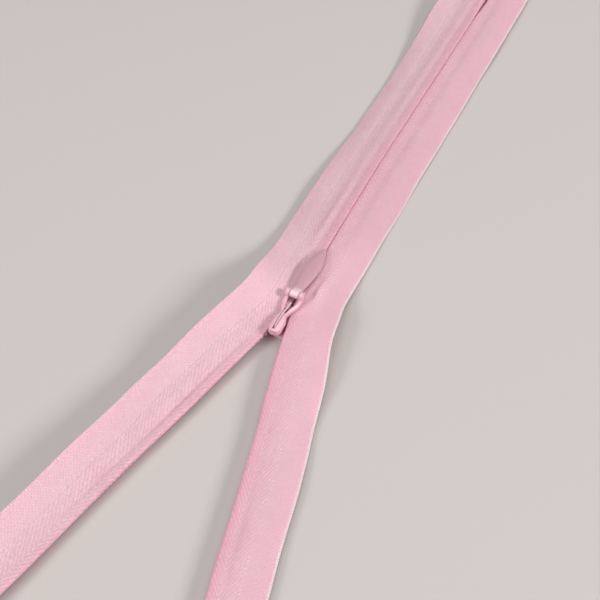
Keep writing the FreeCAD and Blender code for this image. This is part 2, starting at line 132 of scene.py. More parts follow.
def tuck(s, side):
    """The coil rolls back under the edge of the left leg."""
    return (0.90 if side > 0 else 0.0) * ramp(-np.asarray(s, float), 17, 29)


def place(s, o, z, side):
    """Chain coordinates (along, away from the fold line, up) to the row frame."""
    x, y, th = fold(s, side)
    return x + o * np.sin(th), side * (y + o * np.cos(th)) + sway(s), z + lift(s, side)


def unplace(x, y):
    """CAD row frame to chain coordinates, for the pieces that clamp the chain."""
    side = np.where(y >= 0, 1.0, -1.0)
    y = np.abs(y)
    c, sn = math.cos(CAD_LEG), math.sin(CAD_LEG)
    ex, ey = BX - RB * sn, RB * (1 - c)
    dx, dy = x - ex, y - ey
    run = -(dx * c) + dy * sn
    off = dx * sn + dy * c
    return BX - RB * CAD_LEG - run, off, side


# ------------------------------------------------------------------ mesh helpers


def new_mesh(name, verts_mm, faces, smooth=True):
    me = bpy.data.meshes.new(name)
    me.from_pydata((np.asarray(verts_mm, float) * MM).tolist(), [], faces)
    me.validate()
    if smooth:
        me.polygons.foreach_set("use_smooth", np.ones(len(me.polygons), bool))
    me.update()
    ob = bpy.data.objects.new(name, me)
    SC.collection.objects.link(ob)
    return ob


def vec_attribute(ob, name, values):
    a = ob.data.attributes.new(name, "FLOAT_VECTOR", "POINT")
    a.data.foreach_set("vector", np.asarray(values, np.float32).ravel())


def grid_faces(ni, nj, base=0, flip=False, wrap_j=False):
    faces = []
    last = nj if wrap_j else nj - 1
    for i in range(ni - 1):
        for j in range(last):
            j2 = (j + 1) % nj
            f = (base + i * nj + j, base + i * nj + j2, base + (i + 1) * nj + j2, base + (i + 1) * nj + j)
            faces.append(f[::-1] if flip else f)
    return faces


# ------------------------------------------------------------------ tapes
THICK = 0.33
ROLL = 0.465  # middle radius of the fold
Z_TOP, Z_MID = 3.03, 2.565


def table(xs, ys, sigma=2.5):
    """A smooth curve through a short table of values along the chain."""
    g = np.arange(-190.0, 190.0, 0.5)
    k = np.exp(-0.5 * (np.arange(-40, 41) * 0.5 / sigma) ** 2)
    v = np.convolve(np.interp(g, xs, ys), k / k.sum(), "same")
    return lambda s: np.interp(np.asarray(s, float), g[60:-60], v[60:-60])


# height of the selvage above the table: it hangs down along the closed chain and stands up where the legs turn away
EDGE_Z = {
    1: table([-150, -67, -54, -40, -28, -15, -4.5, 7, 12, 19, 27, 36, 45, 60, 92, 102, 110, 118, 126, 140], [7.8, 7.8, 7.0, 6.4, 8.1, 8.5, 8.6, 3.2, 2.2, 1.3, 1.5, 1.9, 1.4, 0.7, 0.8, 1.4, 2.1, 3.0, 3.6, 4.2]),
    -1: table([-150, -55, -45, -35, -25, -15, -2, 6, 14, 40, 60, 140], [1.6, 1.6, 0.9, 1.6, 3.5, 4.8, 2.5, 0.7, 0.45, 0.5, 0.7, 0.7]),
}
# distance of the selvage from the fold line, seen from above
EDGE_O = {
    1: table(
        [-150, -91, -83, -76, -68, -60, -51, -42, -34, -28, -20, -12, -1, 10, 19, 27, 35, 44, 54, 64, 84, 94, 104, 113, 122, 140],
        [10.7, 10.6, 10.7, 10.8, 10.8, 11.1, 11.5, 11.75, 11.6, 11.1, 10.7, 10.5, 11.4, 12.9, 13.3, 13.15, 12.9, 12.9, 12.7, 12.5, 12.5, 12.8, 12.95, 13.15, 13.2, 13.2],
        3.2,
    ),
    -1: table(
        [-150, -79, -74, -62, -49, -42, -36, -30, -23, -19, -16, -11, 0, 8, 16, 24, 32, 40, 57, 75, 95, 116, 140],
        [12.0, 11.95, 12.0, 12.5, 12.6, 12.35, 12.3, 12.5, 12.05, 11.65, 11.7, 12.15, 11.4, 10.9, 10.9, 11.0, 11.25, 11.35, 11.3, 11.3, 11.0, 10.95, 10.8],
        2.0,
    ),
}
# how far the rolled edge of an open leg stands back from the fold line, negative when it leans over it
LEAN = {
    1: table([-150, -100, -90, -78, -63, -55, -47, -37, -24, -18, -12, -8, 140], [-0.25, -0.45, -0.25, -0.05, -0.05, -0.30, -0.50, -0.55, -0.75, -0.65, -0.1, 0, 0], 1.6),
    -1: table([-150, -77, -65, -52, -45, -38, -25, -14, -8, 140], [-0.4, -0.4, -0.15, 0.0, 0.0, -0.3, -0.4, 0.0, 0.0, 0.0], 2.0),
}


def inner(s, side):
    """Outside of the fold, measured from the fold line."""
    s = np.asarray(s, float)
    e = 0.03 - 0.060 * ramp(s, 16, 30) + 0.03 * ramp(-s, 12, 24) + LEAN[side](s)
    # the folds touch and show each turn of the coil further up the chain, then part below the bottom stop
    dots = ramp(s, 40, 62) * (1 - ramp(s, 112, 117))
    e = e + dots * (-0.01 + 0.05 * np.sin(2 * math.pi * s / (1.5 * PITCH)))
    return e + parting(s)


def parting(s):
    """Past the bottom stop the tops of the folds draw back from each other, while the strips below stay together."""
    return 0.80 * ramp(s, 116.5, 130)


def width(s, side):
    s = np.asarray(s, float)
    return EDGE_O[side](s) + (0.22 if side > 0 else 0.0) * ramp(-s, 30, 60) + 0.05 * np.sin(s / 3.7 + 2 * side)


def relief(s, o, side):
    """Ridges, creases and waves of the visible layer."""
    near = ramp(s, -30, -24) * (1 - ramp(s, 13, 19))  # the slider and the tab lie here
    clear = 1 - near
    closed, leg = ramp(s, 8, 22), ramp(-s, 20, 34)
    h = np.zeros(np.broadcast(s, o).shape)
    # closed chain: a rounded rib over the coil, then a shallow valley
    h = h + closed * (0.16 if side > 0 else 0.22) * hump(o, 0.7, 1.1)
    if side > 0:
        far = 1 - 0.55 * ramp(s, 26, 60)
        h = h - closed * far * 0.26 * hump(o, 2.75, 0.75) * (0.75 + 0.25 * np.sin(s / 11.0))
        h = h + closed * far * 0.30 * hump(o, 4.1, 0.9) * (0.7 + 0.3 * np.sin(s / 14.0 + 1.0))
        h = h - 0.18 * closed * hump(o, 6.4, 1.6)
    else:
        h = h - closed * 0.28 * hump(o, 3.1, 1.3)
        h = h + closed * 0.10 * hump(o, 6.6, 2.4)
    # open legs: the rolled edge is a soft bead, with a crease outside it
    if side > 0:
        c = 1.45 + 0.65 * ramp(-s, 20, 60) + 0.16 * np.sin(s / 7.0)
        deep = ramp(-s, 17, 30) * (1 - ramp(-s, 70, 92))
        h = h + leg * 0.16 * hump(o, 0.75, 0.8)
        h = h - deep * (0.64 + 0.10 * np.sin(s / 4.3)) * hump(o, c + 0.35, 0.66)
        h = h - deep * 0.18 * hump(o, c + 1.15 + 0.3 * np.sin(s / 9.0), 0.32)
        h = h + deep * 0.20 * hump(o, c + 2.4, 1.0)
    else:
        h = h + leg * 0.10 * hump(o, 0.8, 1.0)
        h = h - leg * 0.16 * hump(o, 2.7, 0.9)
        # two lazy waves down the leg
        h = h + 0.45 * hump(s, -74, 8) * hump(o, 5.2, 2.6)
        h = h - 0.35 * hump(s, -92, 9) * hump(o, 6.0, 3.0)
    # the selvage side stands up or hangs down
    u = np.clip(o / width(s, side), 0, 1.05)
    rise = EDGE_Z[side](s) - Z_TOP
    h = h + np.maximum(rise, 0) * u ** 1.3 + np.minimum(rise, 0) * u ** 2.4
    # beside the slider: the cloth drops off the channel, and stands in a small fold right of the tab
    h = h - near * 0.10 * ramp(o, 0.3, 2.0)
    if side < 0:
        h = h + 0.75 * hump(s, -1.0, 4.2) * hump(o, 4.35, 0.75)
        h = h - 0.35 * hump(s, 0.0, 9.0) * hump(o, 7.0, 2.0)
        h = h + 0.28 * hump(s, 2.5, 5.5) * hump(o, 1.9, 0.8)
    else:
        h = h - 0.45 * hump(s, 2.0, 9.0) * hump(o, 3.6, 1.3)
        h = h - 0.40 * hump(s, -15.5, 5.0) * hump(o, 4.2, 1.6)
        h = h + 0.25 * hump(s, -10.0, 7.0) * hump(o, 7.2, 1.6)
    # general unevenness
    far = ramp(o, 0.8, 3.0)
    h = h + far * (0.13 * clear + 0.05) * wander(s, o, 11 + side, 26.0)
    h = h + far * 0.035 * wander(s, o, 31 + side, 7.0)
    return h


def tape(name, side, s0, s1):
    """A woven tape between s0 and s1: visible layer, fold and folded-back strip, with its true thickness."""
    n = int(round(abs(s1 - s0) / 0.6)) + 1
    S = np.linspace(s0, s1, n)
    t = np.linspace(0, 1, 46)
    t = t + 0.045 * np.sin(2 * math.pi * t)  # closer together near the selvage and the fold
    phi = np.linspace(0, math.pi, 12)[1:]
    st = np.linspace(0, 1, 7)[1:]
    e, w = inner(S, side)[:, None], width(S, side)[:, None]
    oc = e + 0.165 + ROLL
    o_top = w + (oc - w) * t[None, :]
    q_top = w - o_top
    # pressed square where the two folds meet, round on the open legs
    pw = 0.50 + 0.50 * ramp(-S, 14, 30)[:, None]
    part = parting(S)[:, None]
    o_fold = oc - part * (0.5 - 0.5 * np.cos(phi))[None, :] - ROLL * np.abs(np.sin(phi))[None, :] ** pw
    z_fold = Z_MID + ROLL * np.sign(np.cos(phi))[None, :] * np.abs(np.cos(phi))[None, :] ** pw
    strip = 1.55 - 0.25 * ramp(-S, 20, 50)[:, None]
    o_strip = oc - part + strip * st[None, :]
    z_strip = np.full_like(o_strip, Z_MID - ROLL)
    s2 = np.repeat(S[:, None], len(t), 1)
    hold = ramp(o_top - oc, 0.0, 0.8)
    h = relief(s2, o_top, side)
    h_edge = relief(S[:, None], oc + 0.0 * S[:, None], side)
    z_top = Z_TOP + h * hold + h_edge * (1 - hold)
    z_top = np.maximum(z_top, 0.26)
    z_fold = z_fold + h_edge * (0.5 + 0.5 * np.cos(phi))[None, :]
    O = np.concatenate([o_top, o_fold, o_strip], 1)
    Z = np.concatenate([z_top, z_fold, z_strip], 1)
    Q = np.concatenate([q_top, (w - oc) + ROLL * phi[None, :] + 0 * o_fold, (w - oc) + ROLL * math.pi + (o_strip - oc + part)], 1)
    # the cut ends aren't perfectly square
    SS = np.repeat(S[:, None], O.shape[1], 1)
    cut = 0.16 * np.sin(Q * 1.9 + side) + 0.10 * np.sin(Q * 5.3)
    cut[:, 46:] = cut[:, 45:46]
    for k, kk in ((0, 1.0), (-1, 1.0)):
        if abs(S[k] - SEAM) > 1:
            SS[k] += cut[k] * kk
    x, y, z = place(SS, O, Z, side)
    M = np.stack([x, y, z], -1)
    du = np.gradient(M, axis=0)
    dv = np.gradient(M, axis=1)
    N = np.cross(du, dv)
    N /= np.linalg.norm(N, axis=-1, keepdims=True)
    if N[n // 2, 10, 2] < 0:
        N = -N
    half = 0.5 * (THICK + 0.08 * hump(Q, 0.26, 0.22))[..., None]
    top, bot = M + N * half, M - N * half
    # round the selvage and the strip's edge with one middle row each, pushed outwards
    out0 = M[:, 0] + (M[:, 0] - M[:, 1]) / np.linalg.norm(M[:, 0] - M[:, 1], axis=-1, keepdims=True) * half[:, 0] * 0.9
    out1 = M[:, -1] + (M[:, -1] - M[:, -2]) / np.linalg.norm(M[:, -1] - M[:, -2], axis=-1, keepdims=True) * half[:, -1] * 0.6
    loop = np.concatenate([top, out1[:, None], bot[:, ::-1], out0[:, None]], 1)
    m = loop.shape[1]
    k = O.shape[1]
    qs = np.concatenate([Q, Q[:, -1:], Q[:, ::-1], Q[:, :1]], 1)
    fl = np.concatenate([np.ones_like(Q), np.zeros((n, 1)), -np.ones_like(Q), np.zeros((n, 1))], 1)
    ss = np.repeat(S[:, None], m, 1)
    verts = loop.reshape(-1, 3)
    faces = grid_faces(n, m, wrap_j=True)
    # end caps as strips of quads between the two layers
    for i, fwd in ((0, True), (n - 1, False)):
        b = i * m
        for j in range(k - 1):
            a1, a2, b1, b2 = b + j, b + j + 1, b + (2 * k - j), b + (2 * k - j - 1)
            f = (a1, b1, b2, a2)
            faces.append(f if fwd else f[::-1])
        faces.append((b + k - 1, b + k + 1, b + k) if fwd else (b + k, b + k + 1, b + k - 1))
        faces.append((b + m - 1, b + 2 * k, b) if fwd else (b, b + 2 * k, b + m - 1))
    ob = new_mesh(name, verts, faces)
    bm = bmesh.new()
    bm.from_mesh(ob.data)
    bmesh.ops.recalc_face_normals(bm, faces=bm.faces)
    bm.faces.ensure_lookup_table()
    for f in bm.faces[(n - 1) * m:]:
        f.smooth = False
        for e in f.edges:
            e.smooth = False
    bm.to_mesh(ob.data)
    bm.free()
    vec_attribute(ob, "cloth", np.stack([qs, ss, fl], -1).reshape(-1, 3))
    return ob


# ------------------------------------------------------------------ tubes along a line of points


def tube(name, P, ring, up=None):
    """A closed tube along points P (n, 3). ring gives the section (m, 2) as (sideways, upwards), one for all or one a point."""
    P = np.asarray(P, float)
    n = len(P)
    T = np.gradient(P, axis=0)
    T /= np.linalg.norm(T, axis=1, keepdims=True) + 1e-12
    if up is None:
        up = np.tile([0.0, 0.0, 1.0], (n, 1))
    side = np.cross(T, up)
    side /= np.linalg.norm(side, axis=1, keepdims=True) + 1e-12
    upv = np.cross(side, T)
    R = np.asarray(ring, float)
    if R.ndim == 2:
        R = np.repeat(R[None], n, 0)
    m = R.shape[1]
    V = P[:, None] + side[:, None] * R[:, :, :1] + upv[:, None] * R[:, :, 1:2]
    verts = V.reshape(-1, 3)
    faces = grid_faces(n, m, wrap_j=True)
    c0, c1 = len(verts), len(verts) + 1
    verts = np.concatenate([verts, P[:1] - T[:1] * 0.03, P[-1:] + T[-1:] * 0.03])
    for j in range(m):
        faces.append((c0, (j + 1) % m, j))
        faces.append((c1, (n - 1) * m + j, (n - 1) * m + (j + 1) % m))
    return new_mesh(name, verts, faces)


def circle(r, m=10):
    a = np.linspace(0, 2 * math.pi, m, endpoint=False)
    return np.stack([np.cos(a) * r, np.sin(a) * r], 1)


def coil(name, side, s0, s1, phase):
    """One flattened monofilament helix: upper shank, head, lower shank, then a step to the next turn at the back."""
    first = BX  # heads are spaced from the bottom end of the chain
    bottom = 117.2
    k0 = int(math.ceil((bottom - 0.35 - phase * PITCH - max(s0, s1)) / PITCH - 1e-6))
    k1 = int(math.floor((bottom - 0.35 - phase * PITCH - min(s0, s1)) / PITCH + 1e-6))
    zc, hz = 1.245, 0.455
    tip, back = -0.17, 1.78
    pts, rings = [], []
    ca = np.linspace(0, 2 * math.pi, 9)[:-1]
    for k in range(max(k0, 0), k1 + 1):
        s = bottom - 0.35 - phase * PITCH - k * PITCH - 0.27
        # over the top towards the head
        for o in np.linspace(back - 0.30, tip + 0.34, 6):
            sag = 0.10 * (1 - abs((o - 0.8) / 0.9)) if abs(o - 0.8) < 0.9 else 0.0
            pts.append((s, o, zc + hz - sag * 0.0))
            rings.append((0.26, 0.155))
        # the head: wider along the chain and bulged
        for a in np.linspace(70, -70, 6):
            r = math.radians(a)
            pts.append((s, tip + 0.30 - 0.32 * math.cos(r), zc + hz * math.sin(r)))
            rings.append((0.275 + 0.05 * math.cos(r), 0.165 + 0.05 * math.cos(r)))
        for o in np.linspace(tip + 0.34, back - 0.30, 6):
            pts.append((s, o, zc - hz))
            rings.append((0.26, 0.155))
        # round the back, stepping to the next turn
        for a in np.linspace(-75, 75, 7):
            r = math.radians(a)
            f = (a + 75) / 150
            pts.append((s - PITCH * float(ease(f)), back - 0.30 + 0.31 * math.cos(r), zc + hz * math.sin(r)))
            rings.append((0.23, 0.155))
    pts = np.array(pts)
    rings = np.array(rings)
    x, y, z = place(pts[:, 0], pts[:, 1] + tuck(pts[:, 0], side), pts[:, 2], side)
    P = np.stack([x, y, z], 1)
    T = np.gradient(P, axis=0)
    T /= np.linalg.norm(T, axis=1, keepdims=True) + 1e-12
    _, _, th = fold(pts[:, 0], side)
    along = np.stack([np.cos(th), -side * np.sin(th), 0 * th], 1)
    nrm = np.cross(T, along)
    nrm /= np.linalg.norm(nrm, axis=1, keepdims=True) + 1e-12
    wide = np.cross(nrm, T)
    V = P[:, None] + wide[:, None] * (np.cos(ca)[None, :, None] * rings[:, None, :1]) + nrm[:, None] * (np.sin(ca)[None, :, None] * rings[:, None, 1:2])
    n, m = V.shape[:2]
    verts = V.reshape(-1, 3)
    faces = grid_faces(n, m, wrap_j=True)
    faces.append(tuple(range(m)))
    faces.append(tuple((n - 1) * m + j for j in range(m))[::-1])
    ob = new_mesh(name, verts, faces)
    bm = bmesh.new()
    bm.from_mesh(ob.data)
    bmesh.ops.recalc_face_normals(bm, faces=bm.faces)
    bm.to_mesh(ob.data)
    bm.free()
    return ob


def cord(name, side, s0, s1):
    """The filler cord inside a coil: three plies laid together."""
    S = np.arange(min(s0, s1), max(s0, s1) + 1e-6, 0.42)
    a = np.linspace(0, 2 * math.pi, 13)[:-1]
    x, y, z = place(S, 0.87 + tuck(S, side), 1.245 + 0 * S, side)
    twist = S * 2 * math.pi / 2.6
    r = 0.215 + 0.03 * np.cos(3 * a[None, :] + twist[:, None])
    ring = np.stack([np.cos(a)[None, :] * r, np.sin(a)[None, :] * r], -1)
    return tube(name, np.stack([x, y, z], 1), ring)


def thread(name, side, s0, s1):
    """The sewing thread over the back of a coil, dipping between its turns."""
    S = np.arange(min(s0, s1), max(s0, s1) + 1e-6, PITCH / 8)
    a = np.linspace(0, 2 * math.pi, 9)[:-1]
    ph = 2 * math.pi * S / PITCH
    x, y, z = place(S, 1.56 + tuck(S, side) + 0.05 * np.sin(ph), 0.69 + 0.045 * np.cos(ph), side)
    r = 0.088 + 0.012 * np.cos(2 * a[None, :] + (S * 2 * math.pi / 0.7)[:, None])
    ring = np.stack([np.cos(a)[None, :] * r, np.sin(a)[None, :] * r], -1)
    return tube(name, np.stack([x, y, z], 1), ring)


# ------------------------------------------------------------------ moulded and cast pieces, worked from their CAD solids


def softened(name, node, voxel, smooth, shape=None, keep=1.0):
    """A finely remeshed copy of a CAD solid with its edges rounded, in millimetres while it is worked."""
    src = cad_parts[node]
    me = src.data.copy()
    bm = bmesh.new()
    bm.from_mesh(me)
    bmesh.ops.scale(bm, vec=(1000.0, 1000.0, 1000.0), verts=bm.verts)
    bmesh.ops.remove_doubles(bm, verts=bm.verts, dist=1e-4)
    bmesh.ops.recalc_face_normals(bm, faces=bm.faces)
    bm.to_mesh(me)
    bm.free()
    tmp = bpy.data.objects.new("work", me)
    SC.collection.objects.link(tmp)
    r = tmp.modifiers.new("remesh", "REMESH")
    r.mode = "VOXEL"
    r.voxel_size = voxel
    if smooth:
        m = tmp.modifiers.new("smooth", "SMOOTH")
        m.factor, m.iterations = 0.5, smooth
    dg = bpy.context.evaluated_depsgraph_get()
    out = bpy.data.meshes.new_from_object(tmp.evaluated_get(dg))
    bpy.data.objects.remove(tmp)
    co = np.zeros(len(out.vertices) * 3)
    out.vertices.foreach_get("co", co)
    co = co.reshape(-1, 3)
    if shape is not None:
        co = shape(co)
    out.vertices.foreach_set("co", (co * MM).ravel())
    out.materials.clear()
    out.update()
    ob = bpy.data.objects.new(name, out)
    out.name = name
    SC.collection.objects.link(ob)
    if keep < 1.0:
        d = ob.modifiers.new("thin", "DECIMATE")
        d.ratio = keep
        dg = bpy.context.evaluated_depsgraph_get()
        thin = bpy.data.meshes.new_from_object(ob.evaluated_get(dg))
        ob.modifiers.clear()
        ob.data = thin
        thin.name = name
    ob.data.polygons.foreach_set("use_smooth", np.ones(len(ob.data.polygons), bool))
    return ob


def shape_slider(co):
    x, y, z = co[:, 0], co[:, 1], co[:, 2]
    out = co.copy()
    # the nose is crowned across and falls away at its front
    nose = ramp(-x, 11.6, 12.8) * ramp(z, 3.3, 3.7)
    crown = 0.58 * np.clip(np.abs(y) / 1.62, 0, 1.05) ** 2.4
    front = 0.40 * ramp(-x, 17.2, 18.9) ** 1.5
    rear = 0.30 * (1 - ramp(-x, 12.2, 15.0))
    k = np.clip((z - 3.42) / (5.45 - 3.42), 0, 1)
    out[:, 2] -= nose * k * (crown + front + rear)
    # flanks lean in towards the top
    out[:, 1] *= 1 - nose * k * 0.10
    # arms are rounded along their length
    arm = ramp(x, -13.2, -12.2) * (1 - ramp(x, -7.4, -7.0)) * ramp(z, 3.6, 4.0)
    mid = np.interp(x, [-13.4, -12.2, -10.3, -9.0, -7.6, -6.3], [0.62, 0.68, 1.25, 1.70, 1.82, 1.82])
    out[:, 2] -= arm * 0.30 * np.clip(np.abs(np.abs(y) - mid) / 0.46, 0, 1.2) ** 2 * np.clip((z - 3.42) / 1.3, 0, 1)
    return out


PIV = (-6.30, 5.02)
SLOPE = math.radians(3.7)
TAB_X = [0, 1.45, 2.6, 4.6, 6.6, 9.4, 12.2, 14.6, 17.4, 17.9]
TAB_W = [1.03, 1.05, 1.28, 1.62, 1.92, 2.15, 1.92, 1.26, 0.48, 0.05]


def shape_tab(co):
    dx, dz = co[:, 0] - PIV[0], co[:, 2] - PIV[1]
    c, sn = math.cos(SLOPE), math.sin(SLOPE)
    lx, lz = dx * c - dz * sn, dx * sn + dz * c
    w = np.interp(lx, TAB_X, TAB_W)
    blade = ramp(lx, 1.6, 3.2)
    edge = np.clip(np.abs(co[:, 1]) / np.maximum(w, 0.3), 0, 1)
    tip = ramp(lx, 13.6, 17.9)
    k = 1 - blade * (0.58 * edge ** 2.6 * (1 - 0.5 * tip) + 0.45 * tip ** 2)
    mid = np.where(lz > 0, 0.0, 0.0)
    lz2 = mid + (lz - mid) * k
    # a very slight belly along the blade
    lz2 = lz2 + blade * 0.10 * np.sin(np.clip(lx / 17.9, 0, 1) * math.pi)
    out = co.copy()
    out[:, 0] = PIV[0] + lx * c + lz2 * sn
    out[:, 2] = PIV[1] - lx * sn + lz2 * c
    return out


def shape_spring(co):
    out = co.copy()
    x, z = co[:, 0], co[:, 2]
    out[:, 2] -= 0.62 * ramp(-x, 17.15, 17.6) * ramp(z, 4.2, 4.7)
    return out


def shape_clamp(co):
    """A stop follows its own leg, which may lie a little off the CAD's even spread."""
    s, o, side = unplace(co[:, 0], co[:, 1])
    out = co.copy()
    for sd in (1, -1):
        k = side == sd
        if co[:, 0].mean() < 0:
            x, y, z = place(s[k], o[k], co[k, 2], sd)
        else:
            x, y, z = co[k, 0], co[k, 1] + sway(co[k, 0]), co[k, 2] + lift(co[k, 0], sd)
        out[k] = np.stack([x, y, z], 1)
    return out

# ------------------------------------------------------------------ materials


class Nodes:
    """A short way to write a material's nodes."""

    def __init__(self, name, **sockets):
        self.mat = bpy.data.materials.new(name)
        self.mat.use_nodes = True
        self.nt = self.mat.node_tree
        self.nt.nodes.clear()
        self.out = self.nt.nodes.new("ShaderNodeOutputMaterial")
        self.bsdf = self.nt.nodes.new("ShaderNodeBsdfPrincipled")
        self.nt.links.new(self.bsdf.outputs[0], self.out.inputs["Surface"])
        for k, v in sockets.items():
            self.bsdf.inputs[k.replace("_", " ")].default_value = v

    def put(self, sock, v):
        if isinstance(v, bpy.types.NodeSocket):
            self.nt.links.new(v, sock)
        elif v is not None:
            sock.default_value = v

    def m(self, op, a, b=None, c=None, clamp=False):
        n = self.nt.nodes.new("ShaderNodeMath")
        n.operation = op
        n.use_clamp = clamp
        for i, v in enumerate((a, b, c)):
            self.put(n.inputs[i], v)
        return n.outputs[0]

    def attr(self, name):
        n = self.nt.nodes.new("ShaderNodeAttribute")
        n.attribute_name = name
        x = self.nt.nodes.new("ShaderNodeSeparateXYZ")
        self.nt.links.new(n.outputs["Vector"], x.inputs[0])
        return n.outputs["Vector"], x.outputs[0], x.outputs[1], x.outputs[2]

    def pos(self, scale):
        n = self.nt.nodes.new("ShaderNodeTexCoord")
        k = self.nt.nodes.new("ShaderNodeMapping")
        k.inputs["Scale"].default_value = (scale, scale, scale) if np.isscalar(scale) else scale
        self.nt.links.new(n.outputs["Object"], k.inputs["Vector"])
        return k.outputs[0]

    def noise(self, vec, scale=1.0, detail=2.0, rough=0.5):
        n = self.nt.nodes.new("ShaderNodeTexNoise")
        self.put(n.inputs["Vector"], vec)
        n.inputs["Scale"].default_value = scale
        n.inputs["Detail"].default_value = detail
        n.inputs["Roughness"].default_value = rough
        return n.outputs[0]

    def wave(self, v, period, phase=0.0):
        """0 to 1 sine of a millimetre coordinate."""
        a = self.m("MULTIPLY_ADD", v, 2 * math.pi / period, phase)
        return self.m("MULTIPLY_ADD", self.m("SINE", a), 0.5, 0.5)

    def span(self, v, a, b):
        """smooth 0 to 1 as v goes from a to b."""
        n = self.nt.nodes.new("ShaderNodeMapRange")
        n.interpolation_type = "SMOOTHSTEP"
        self.put(n.inputs["Value"], v)
        n.inputs["From Min"].default_value, n.inputs["From Max"].default_value = a, b
        return n.outputs[0]

    def bell(self, v, c, w):
        """1 at c, 0 beyond w either side."""
        d = self.m("ABSOLUTE", self.m("SUBTRACT", v, c))
        return self.m("SUBTRACT", 1.0, self.span(d, 0.0, w))

    def mix(self, fac, a, b, kind="MIX"):
        n = self.nt.nodes.new("ShaderNodeMix")
        n.data_type = "RGBA"
        n.blend_type = kind
        self.put(n.inputs["Factor"], fac)
        self.put(n.inputs["A"] if False else n.inputs[6], a)
        self.put(n.inputs[7], b)
        return n.outputs[2]

    def ramp(self, fac, stops, kind="LINEAR"):
        n = self.nt.nodes.new("ShaderNodeValToRGB")
        n.color_ramp.interpolation = kind
        e = n.color_ramp.elements
        while len(e) < len(stops):
            e.new(0.5)
        for x, (p, c) in zip(e, stops):
            x.position = p
            x.color = (*c, 1.0)
        self.put(n.inputs["Fac"], fac)
        return n.outputs["Color"]

    def grey(self, v):
        n = self.nt.nodes.new("ShaderNodeCombineColor")
        for i in range(3):
            self.put(n.inputs[i], v)
        return n.outputs[0]

    def scaled(self, col, v):
        return self.mix(1.0, col, self.grey(v), "MULTIPLY")

    def bump(self, height, distance, strength=1.0):
        n = self.nt.nodes.new("ShaderNodeBump")
        n.inputs["Distance"].default_value = distance
        n.inputs["Strength"].default_value = strength
        self.nt.links.new(height, n.inputs["Height"])
        self.nt.links.new(n.outputs[0], self.bsdf.inputs["Normal"])

    def link(self, name, v):
        self.nt.links.new(v, self.bsdf.inputs[name])


